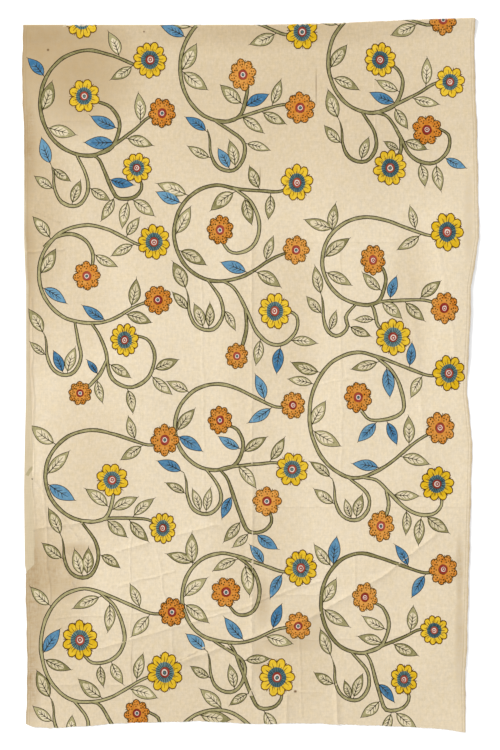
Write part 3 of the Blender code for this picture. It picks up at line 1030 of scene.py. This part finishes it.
def fold_group():
    """One fold: how near a place is to its run, from 1 on the run to 0 at its reach, times its rise."""
    tree, given = new_group("one fold", "GeometryNodeTree", FOLD_INPUTS, {"Swell": 0.0, "Crease": 0.0})
    near = nearness(tree, given)
    rounded = near * near * (1.6 - near * 0.6)
    return tree.give(Swell=eased(near) * given["Rise"], Crease=rounded * given["Rise"])


def relief_group():
    """The upper layer's relief at a place: broad swells added up, and the highest of the creases."""
    inputs = {"Place": "Vector", "Swell Height": 1.0, "Crease Height": 1.0}
    tree, given = new_group("swells and creases", "GeometryNodeTree", inputs, {"Relief": 0.0})
    one = fold_group()

    def lay(table, output):
        return [tree.get("GeometryNodeGroup", fold_values(row, given["Place"]), output, node_tree=one)
                for row in table]

    first, *swells = lay(SWELLS, "Swell")
    creases = reduce(Value.above, lay(CREASES, "Crease"))
    return tree.give(Relief=sum(swells, first) * given["Swell Height"] + creases * given["Crease Height"])


def lay_tree(materials):
    """Lays a flat sheet on its folds: relief before the fold, a round turn, then flat underneath."""
    tree, given = new_group("lay on folds", "GeometryNodeTree", {"Geometry": "Geometry", **LAY_INPUTS},
                            {"Geometry": "Geometry"})
    relief = relief_group()
    x, y, z = tree.split(tree.get("GeometryNodeInputPosition"))
    flat = tree.joined(x, y, 0.0)
    line, past = (tree.get("GeometryNodeInputNamedAttribute", {"Name": name}, data_type="FLOAT")
                  for name in ("fold_line", "past_fold"))
    heights = {name: given[name] for name in ("Swell Height", "Crease Height")}

    def height(shift_x, shift_y):
        """The painted face's height a little to one side of a place."""
        spot = tree.vector("ADD", flat, (shift_x, shift_y, 0))
        bumps = tree.get("GeometryNodeGroup", {"Place": spot, **heights}, "Relief", node_tree=relief)
        before = 0.0 - (past + shift_y)
        loop = eased((1.0 - before / given["Loop Reach"]).held())
        return bumps * (1.0 - loop) + (loop * given["Loop Rise"] + given["Rest Height"])

    here = height(0.0, 0.0)
    radius = (given["Rest Height"] + given["Loop Rise"]) * 0.5
    turn = tree.math("MINIMUM", past.above() / radius, math.pi)
    out_y, out_z = tree.math("SINE", turn), tree.math("COSINE", turn)
    turned_y = out_y * radius + line - (past - radius * math.pi).above()
    turned_z = out_z * radius + radius
    before_fold = tree.math("LESS_THAN", past, 0.0)

    def pick(when_turned, when_before, kind="FLOAT"):
        values = {"Switch": before_fold, "False": when_turned, "True": when_before}
        return tree.get("GeometryNodeSwitch", values, input_type=kind)

    slope_x = (height(SLOPE_STEP, 0.0) - here) / SLOPE_STEP
    slope_y = (height(0.0, -SLOPE_STEP) - here) / SLOPE_STEP
    normal = pick(tree.joined(0.0, out_y, out_z), tree.joined(0.0 - slope_x, slope_y, 1.0), "VECTOR")
    normal = tree.vector("NORMALIZE", normal)
    face = tree.joined(x, pick(turned_y, y), pick(turned_z, here))
    kept = tree.get("GeometryNodeStoreNamedAttribute",
                    {"Geometry": given["Geometry"], "Name": "lie_normal", "Value": normal},
                    data_type="FLOAT_VECTOR", domain="POINT")
    laid = tree.get("GeometryNodeSetPosition",
                    {"Geometry": kept, "Position": tree.vector("ADD", face, tree.scaled(normal, z))})
    cloth = tree.get("GeometryNodeRealizeInstances", {"Geometry": laid})
    cloth = tree.get("GeometryNodeSetMaterial", {"Geometry": cloth, "Material": materials[0]})
    dye = tree.get("GeometryNodeInputNamedAttribute", {"Name": "dye"}, data_type="INT")
    for index, material in enumerate(materials[1:], 1):
        chosen = tree.get("FunctionNodeCompare", {2: dye, 3: index}, data_type="INT", operation="EQUAL")
        cloth = tree.get("GeometryNodeSetMaterial",
                         {"Geometry": cloth, "Selection": chosen, "Material": material})
    return tree.give(Geometry=cloth)


def lay_on_folds(name, mesh, tree, inputs):
    """Runs the tree on a flat sheet and keeps the result as a plain mesh with smooth normals."""
    store_flat_facts(mesh)
    piece = bpy.data.objects.new(name, mesh)
    bpy.context.scene.collection.objects.link(piece)
    modifier = piece.modifiers.new("lay on folds", "NODES")
    modifier.node_group = tree
    for item in tree.interface.items_tree:
        if item.in_out == "INPUT" and item.name in inputs:
            modifier[item.identifier] = inputs[item.name]
    graph = bpy.context.evaluated_depsgraph_get()
    laid = bpy.data.meshes.new_from_object(
        piece.evaluated_get(graph), preserve_all_data_layers=True, depsgraph=graph)
    laid.name = name
    piece.modifiers.clear()
    piece.data = laid
    bpy.data.meshes.remove(mesh)
    smooth_by_lie(laid)
    return piece


def smooth_by_lie(mesh):
    """Shades the faces by the lie of the cloth and not by their own small triangles."""
    count = len(mesh.vertices)
    normals, flat = np.empty(count * 3), np.empty(count * 3)
    mesh.attributes["lie_normal"].data.foreach_get("vector", normals)
    mesh.attributes["cut_place"].data.foreach_get("vector", flat)
    normals, depth = normals.reshape(-1, 3), flat.reshape(-1, 3)[:, 2]
    normals[depth < -CLOTH_THICKNESS / 2] *= -1
    mesh.shade_smooth()
    mesh.normals_split_custom_set_from_vertices(normals.tolist())
    for name in ("lie_normal", "dye"):
        mesh.attributes.remove(mesh.attributes[name])


def linear(red, green, blue):
    """A colour given as on a screen, 0 to 255, as light."""
    channels = [value / 255 for value in (red, green, blue)]
    return tuple(c / 12.92 if c <= 0.04045 else ((c + 0.055) / 1.055) ** 2.4 for c in channels) + (1.0,)


def dyed(red, green, blue):
    """The colour of a dyed cloth that looks like this under the studio's strong light."""
    return tuple(channel / STUDIO_LIGHT for channel in linear(red, green, blue)[:3]) + (1.0,)


GROUND_PALE = dyed(231, 216, 191)
GROUND_WARM = dyed(198, 176, 141)
GROUND_BROWN = dyed(170, 144, 106)
TEA_TINT = (0.985, 0.955, 0.860, 1.0)
# Brown of the specks and of the thin lines of painted crease shade
SPECK_AND_CREASE_SHADE_BROWN = dyed(112, 84, 56)
REVERSE_PALE = dyed(220, 204, 174)
REVERSE_WARM = dyed(204, 186, 152)

# Each dye where the brush was thin and where it was full, and its roughness
DYE_COLOURS = {
    "outline_ink": ((62, 52, 30), (32, 26, 14), 0.88),
    "stem_green": ((175, 166, 121), (129, 122, 78), 0.90),
    "leaf_cream": ((226, 211, 178), (206, 192, 154), 0.92),
    "leaf_blue": ((110, 154, 180), (62, 114, 152), 0.90),
    "petal_yellow": ((232, 194, 58), (214, 170, 20), 0.90),
    "petal_orange": ((220, 156, 76), (202, 122, 38), 0.90),
    "petal_ink": ((112, 78, 22), (72, 46, 12), 0.88),
    "ring_teal": ((106, 136, 134), (66, 100, 106), 0.90),
    "tick_blue": ((50, 60, 72), (28, 36, 48), 0.88),
    "ring_crimson": ((166, 74, 58), (132, 42, 34), 0.90),
    "eye_white": ((230, 216, 200), (212, 194, 180), 0.92),
    "strike_through": ((192, 178, 144), (174, 162, 124), 0.93),
}


def weave_group():
    """Plain weave seen close: thread relief, streaks along and across, and soft blotches."""
    outputs = ("Streaks", "Blotches", "Mottle", "Tea", "Thread Relief")
    inputs = {"Thread Pitch": 0.00055, "Slub Strength": 1.0}
    tree, given = new_group("plain weave", "ShaderNodeTree", inputs, {name: 0.0 for name in outputs})
    place = tree.place()

    def noise(scale, detail, roughness):
        stretched = tree.vector("MULTIPLY", place, scale)
        return tree.get("ShaderNodeTexNoise",
                        {"Vector": stretched, "Scale": 1.0, "Detail": detail, "Roughness": roughness})

    streaks = noise((560, 34, 1), 2.0, 0.5) + noise((34, 560, 1), 2.0, 0.5) - 1.0
    blotches = noise((7, 6, 1), 2.0, 0.5) + noise((38, 34, 1), 3.0, 0.6) * 0.6 - 0.8
    mottle = noise((150, 110, 1), 3.0, 0.7) * 2.4 - 1.2
    tea = (noise((64, 46, 1), 4.0, 0.65) * 2.6 - 0.8).held()
    x, y, _ = tree.split(place)
    turn = tree.math("DIVIDE", math.pi, given["Thread Pitch"])
    threads = abs(tree.math("SINE", x * turn)) * abs(tree.math("SINE", y * turn))
    return tree.give(Streaks=streaks, Blotches=blotches, Mottle=mottle, Tea=tea,
                     Thread_Relief=streaks * given["Slub Strength"] + threads)


def mix(tree, share, a, b, blend="MIX"):
    """Mixes two colours by a share."""
    return tree.get("ShaderNodeMix", {0: share, 6: a, 7: b}, 2, data_type="RGBA", blend_type=blend)


def shaded(tree, colour, by, change):
    """A colour made lighter or darker by a value that runs from -0.5 to 0.5."""
    limits = {"From Min": -0.5, "From Max": 0.5, "To Min": 1 - change, "To Max": 1 + change}
    return tree.scaled(colour, tree.get("ShaderNodeMapRange", {"Value": by, **limits}))


def pinch_group():
    """The finer pinches: the highest of their ridges at a place, in metres."""
    tree, given = new_group("one pinch", "ShaderNodeTree", FOLD_INPUTS, {"Height": 0.0})
    one = tree.give(Height=nearness(tree, given) * given["Rise"])
    tree, _ = new_group("pinches", "ShaderNodeTree", {}, {"Height": 0.0})
    place = tree.place()
    sway = tree.get("ShaderNodeTexNoise", {"Vector": place, "Scale": 14.0, "Detail": 2.0}, "Color")
    sway = tree.scaled(tree.vector("SUBTRACT", sway, (0.5, 0.5, 0.5)), PINCH_SWAY)
    swayed = tree.vector("MULTIPLY", tree.vector("ADD", place, sway), (1, 1, 0))
    heights = [tree.get("ShaderNodeGroup", fold_values(row, swayed), node_tree=one) for row in PINCHES]
    return tree.give(Height=reduce(Value.above, heights))


def cloth_material(name, groups, roughness, bump, paint):
    """A dyed cotton: the given painter makes its colour, and the weave gives its relief."""
    material = bpy.data.materials.new(name)
    material.use_nodes = True
    tree = Tree(material.node_tree)
    surface = material.node_tree.nodes["Principled BSDF"]
    weave, pinches = groups
    woven = tree.all_of(tree.add("ShaderNodeGroup", node_tree=weave))
    pinched = tree.get("ShaderNodeGroup", node_tree=pinches)
    folded = tree.get("ShaderNodeBump", {"Height": pinched, "Strength": 1.0, "Distance": PINCH_RELIEF})
    relief = tree.get("ShaderNodeBump", {"Height": woven["Thread Relief"], "Strength": bump,
                                         "Distance": THREAD_RELIEF, "Normal": folded})
    values = {"Roughness": roughness, "Specular IOR Level": 0.06, "Normal": relief,
              "Base Color": paint(tree, woven)}
    for socket, value in values.items():
        tree.feed(surface.inputs[socket], value)
    return material


def near_spot(tree, place, tone):
    """A tone's strength at its spot, falling softly to 0 at the edge of an oval round it."""
    shifted = tree.vector("SUBTRACT", place, (tone.x, TOP_Y - tone.down, 0))
    scaled = tree.vector("MULTIPLY", shifted, (1 / tone.wide, 1 / tone.high, 0))
    fall = (1.0 - tree.vector("LENGTH", scaled)).above()
    return fall * (2.0 - fall) * tone.strength


# Broad warmer, darker places on the ground, strongest in the top left corner and along the fold: place,
# oval and strength
Tone = namedtuple("Tone", "x down wide high strength")
WARM_PLACES = named_rows(
    Tone,
    (-0.56, 0.06, 0.3, 0.3, 1.0), (-0.56, 0.45, 0.15, 0.48, 0.8), (-0.33, 0.3, 0.33, 0.46, 0.36),
    (0.05, 0.16, 0.9, 0.38, 0.5), (0.0, 0.01, 0.7, 0.13, 0.8), (0.02, 0.8, 0.1, 0.42, 0.25),
    (0.02, 1.33, 0.14, 0.26, 0.3), (0.42, 1.3, 0.12, 0.28, 0.12), (0.1, 1.62, 0.16, 0.2, 0.42),
    (0.2, 1.72, 0.48, 0.24, 0.22), (-0.2, 1.72, 0.48, 0.26, 0.32), (0.43, 1.5, 0.24, 0.42, 0.15),
    (0.1, 0.74, 0.085, 0.33, 0.34), (-0.43, 0.64, 0.12, 0.24, 0.36), (-0.43, 0.1, 0.26, 0.26, 1.0),
    (-0.48, 1.68, 0.16, 0.2, 0.3), (-0.4, 1.12, 0.13, 0.26, 0.32), (-0.53, 1.43, 0.15, 0.3, 0.64),
    (0.4, 0.7, 0.06, 0.26, 0.3),
)
# Brown places: darker in the top left corner and along the selvages, a few stains, and painted crease shade
# along the creases low in the middle, near x 0.0 to 0.2 and 1.5 to 1.6 down
BROWN_PLACES_AND_CREASE_SHADE = named_rows(
    Tone,
    (-0.57, 0.02, 0.24, 0.2, 0.42), (-0.47, 0.13, 0.19, 0.19, 0.29), (-0.57, 0.16, 0.1, 0.3, 0.3),
    (-0.56, 0.3, 0.034, 0.2, 0.6), (-0.562, 0.62, 0.03, 0.18, 0.55), (-0.56, 0.96, 0.024, 0.16, 0.45),
    (-0.545, 1.44, 0.046, 0.19, 0.66), (-0.55, 1.64, 0.034, 0.15, 0.6), (-0.5, 1.39, 0.075, 0.075, 0.55),
    (-0.455, 1.41, 0.045, 0.055, 0.45), (-0.43, 1.33, 0.06, 0.022, 0.4), (0.522, 1.38, 0.012, 0.1, 0.45),
    (0.522, 1.56, 0.014, 0.16, 0.3), (0.545, 0.5, 0.016, 0.13, 0.25), (0.1, 1.56, 0.12, 0.03, 0.28),
    (0.175, 1.52, 0.05, 0.06, 0.25), (0.03, 1.46, 0.024, 0.07, 0.42), (0.022, 1.6, 0.018, 0.06, 0.26),
)
# Small brown specks and three thin dark lines; the lines at x 0.164 and x -0.298 are painted crease shade,
# the second on a pinch
SPECKS_AND_CREASE_SHADE_LINES = named_rows(
    Tone,
    (-0.506, 0.08, 0.004, 0.004, 1.0), (-0.266, 0.035, 0.003, 0.003, 0.9),
    (0.112, 1.683, 0.005, 0.004, 1.0), (0.024, 0.398, 0.0018, 0.034, 0.55),
    (0.164, 0.172, 0.0018, 0.058, 0.6), (-0.298, 1.61, 0.002, 0.058, 0.3),
)


def tones(tree, place, table):
    """The strongest of a table's tones at a place."""
    return reduce(Value.above, [near_spot(tree, place, tone) for tone in table])


def paint_ground(tree, woven):
    """Tea-coloured cotton: warmer and darker in broad places, brown places with painted crease shade among
    them, a brown line inside each selvage, painted shade darkening each selvage's edge, and a few specks
    with thin lines of painted crease shade.
    """
    place = tree.place()
    colour = mix(tree, tones(tree, place, WARM_PLACES), GROUND_PALE, GROUND_WARM)
    grain = woven["Mottle"] * 1.1 + woven["Streaks"] * 1.6
    # Brown places, with painted crease shade among them, broken up by the grain
    brown = tones(tree, place, BROWN_PLACES_AND_CREASE_SHADE) * (grain + (woven["Blotches"] * 1.8 + 0.85))
    colour = mix(tree, brown.held(), colour, GROUND_BROWN)
    for name in ("from_left", "from_right"):
        aside = tree.stored(name)
        line = (1.0 - abs(aside - SELVAGE_LINE) / SELVAGE_LINE_REACH).above()
        colour = mix(tree, line * 0.38, colour, GROUND_BROWN)
        # Painted shade: darker towards each selvage's cut edge
        edge = (1.0 - aside / SELVAGE_EDGE_SHADE_REACH).above()
        colour = mix(tree, edge * 0.55, colour, GROUND_BROWN)
    # Specks, and thin lines of painted crease shade
    colour = mix(tree, tones(tree, place, SPECKS_AND_CREASE_SHADE_LINES), colour, SPECK_AND_CREASE_SHADE_BROWN)
    colour = shaded(tree, colour, woven["Streaks"], 0.08)
    colour = mix(tree, woven["Tea"], shaded(tree, colour, woven["Blotches"], 0.04), TEA_TINT, "MULTIPLY")
    return shaded(tree, colour, woven["Mottle"], 0.08)


def dye_painter(thin, full):
    """A brushed dye: thinner or fuller by the brush load, by blotches and by the threads."""

    def paint(tree, woven):
        load, place = tree.stored("dye_load"), tree.place()
        brush = tree.get("ShaderNodeTexNoise",
                         {"Vector": place, "Scale": 95.0, "Detail": 3.0, "Roughness": 0.62})
        colour = mix(tree, ((brush - 0.5) * 2.4 + load).held(), thin, full)
        colour = shaded(tree, colour, woven["Streaks"], 0.12)
        return shaded(tree, colour, woven["Blotches"], 0.08)

    return paint


def paint_reverse(tree, woven):
    """The unpainted side: the same cotton, a little greyer."""
    colour = mix(tree, woven["Blotches"] * 1.0 + 0.5, REVERSE_PALE, REVERSE_WARM)
    return shaded(tree, colour, woven["Streaks"], 0.10)


def make_materials():
    """One material for each dye, in the order of the slots."""
    groups = weave_group(), pinch_group()
    cottons = {"bare_cotton": (0.93, 0.5, paint_ground), "reverse_cotton": (0.95, 0.5, paint_reverse)}
    brushed = {dye: (roughness, 0.4, dye_painter(dyed(*thin), dyed(*full)))
               for dye, (thin, full, roughness) in DYE_COLOURS.items()}
    recipes = {**cottons, **brushed}
    return [cloth_material(dye, groups, *recipes[dye]) for dye in DYES]


def under_outline():
    """The under layer's edge in the cut's plane, as the selvages and hem lie beneath the upper layer."""
    downs = np.arange(0.05, 1.750, EDGE_STEP)
    left = selvage("left", downs) + inset("under_left", downs)
    right = selvage("right", downs) - inset("under_right", downs)
    hem_x = np.linspace(left[-1], right[-1], int(LOOM_WIDTH / EDGE_STEP))
    hem = np.stack([hem_x, hem_y(hem_x) + UNDER_HEM_INSET], 1)
    left_side, right_side = (np.stack([side, TOP_Y - downs], 1) for side in (left, right))
    top_x = np.linspace(selvage("right", 0.0), selvage("left", 0.0), int(LOOM_WIDTH / EDGE_STEP))
    top = np.stack([top_x, fold_y(top_x)], 1)
    shown = np.vstack([hem, right_side[::-1][1:], top, left_side[:-1]])
    cut_y = 2 * fold_y(shown[:, 0]) + FOLD_ARC - shown[:, 1]
    return np.stack([shown[:, 0], cut_y], 1)[::-1]


def reverse_fragment():
    """What shows of a motif from the wrong side, on the strip of under layer at the left."""
    stem = np.array([(-0.5590, 1.144), (-0.554, 1.135), (-0.549, 1.128), (-0.5435, 1.124)])
    tip = np.array([(-0.5465, 1.151), (-0.5425, 1.1555), (-0.5385, 1.156)])
    strokes = []
    for path, half, dye in ((stem, 0.0042, "strike_through"), (tip, 0.0018, "outline_ink")):
        place = np.stack([path[:, 0], 2 * fold_y(path[:, 0]) + FOLD_ARC - (TOP_Y - path[:, 1])], 1)
        strokes.append((RANK["strike"], DYE_SLOT[dye], band(smooth_path(place, 0.004), half), 0.5))
    return strokes


def soft_light(name, place, size, watts):
    """A broad soft lamp that looks at the cloth's middle."""
    lamp = bpy.data.lights.new(name, "AREA")
    lamp.shape, lamp.size, lamp.energy = "DISK", size, watts
    holder = bpy.data.objects.new(name, lamp)
    holder.location = place
    holder.rotation_euler = (-Vector(place)).to_track_quat("-Z", "Y").to_euler()
    bpy.context.scene.collection.objects.link(holder)


def set_studio():
    """A white surface under soft light, and a camera straight above."""
    scene = bpy.context.scene
    bpy.ops.mesh.primitive_plane_add(size=FLOOR_SIZE, location=(0, 0, 0))
    floor = bpy.context.object
    floor.name = "studio_floor"
    paper = bpy.data.materials.new("studio_paper")
    paper.use_nodes = True
    surface = paper.node_tree.nodes["Principled BSDF"]
    surface.inputs["Base Color"].default_value = PAPER_WHITE
    surface.inputs["Roughness"].default_value = 0.9
    floor.data.materials.append(paper)
    world = bpy.data.worlds.new("studio_air")
    scene.world = world
    world.use_nodes = True
    air = world.node_tree.nodes["Background"]
    air.inputs["Color"].default_value = (1.0, 1.0, 1.0, 1)
    air.inputs["Strength"].default_value = AIR_LIGHT
    soft_light("key_light", *KEY_LIGHT)
    soft_light("fill_light", *FILL_LIGHT)
    view = bpy.data.cameras.new("straight_above")
    view.lens, view.sensor_fit, view.sensor_height = LENS, "VERTICAL", 36
    camera = bpy.data.objects.new("straight_above", view)
    camera.location = CAMERA_PLACE
    scene.collection.objects.link(camera)
    scene.camera = camera
    scene.view_settings.view_transform = "Standard"


def build():
    """Draws, cuts, folds and dresses the two leaves of the cloth."""
    upper_painting = paint_vines(VINES)
    past_fold = paint_vines([moved_vine(vine, PAST_FOLD_SHIFT) for vine in VINES])
    materials = make_materials()
    tree = lay_tree(materials)
    upper_mesh = sheet_mesh("upper_leaf", upper_outline(), upper_painting.strokes)
    under_mesh = sheet_mesh("under_leaf", under_outline(), past_fold.strokes, reverse_fragment())
    upper = lay_on_folds("upper_leaf", upper_mesh, tree, LAY_INPUTS)
    under = lay_on_folds("under_leaf", under_mesh, tree, LAY_INPUTS)
    for piece in (upper, under):
        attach(piece, "root")
    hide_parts("cloth")
    return upper, under


upper, under = build()
set_studio()
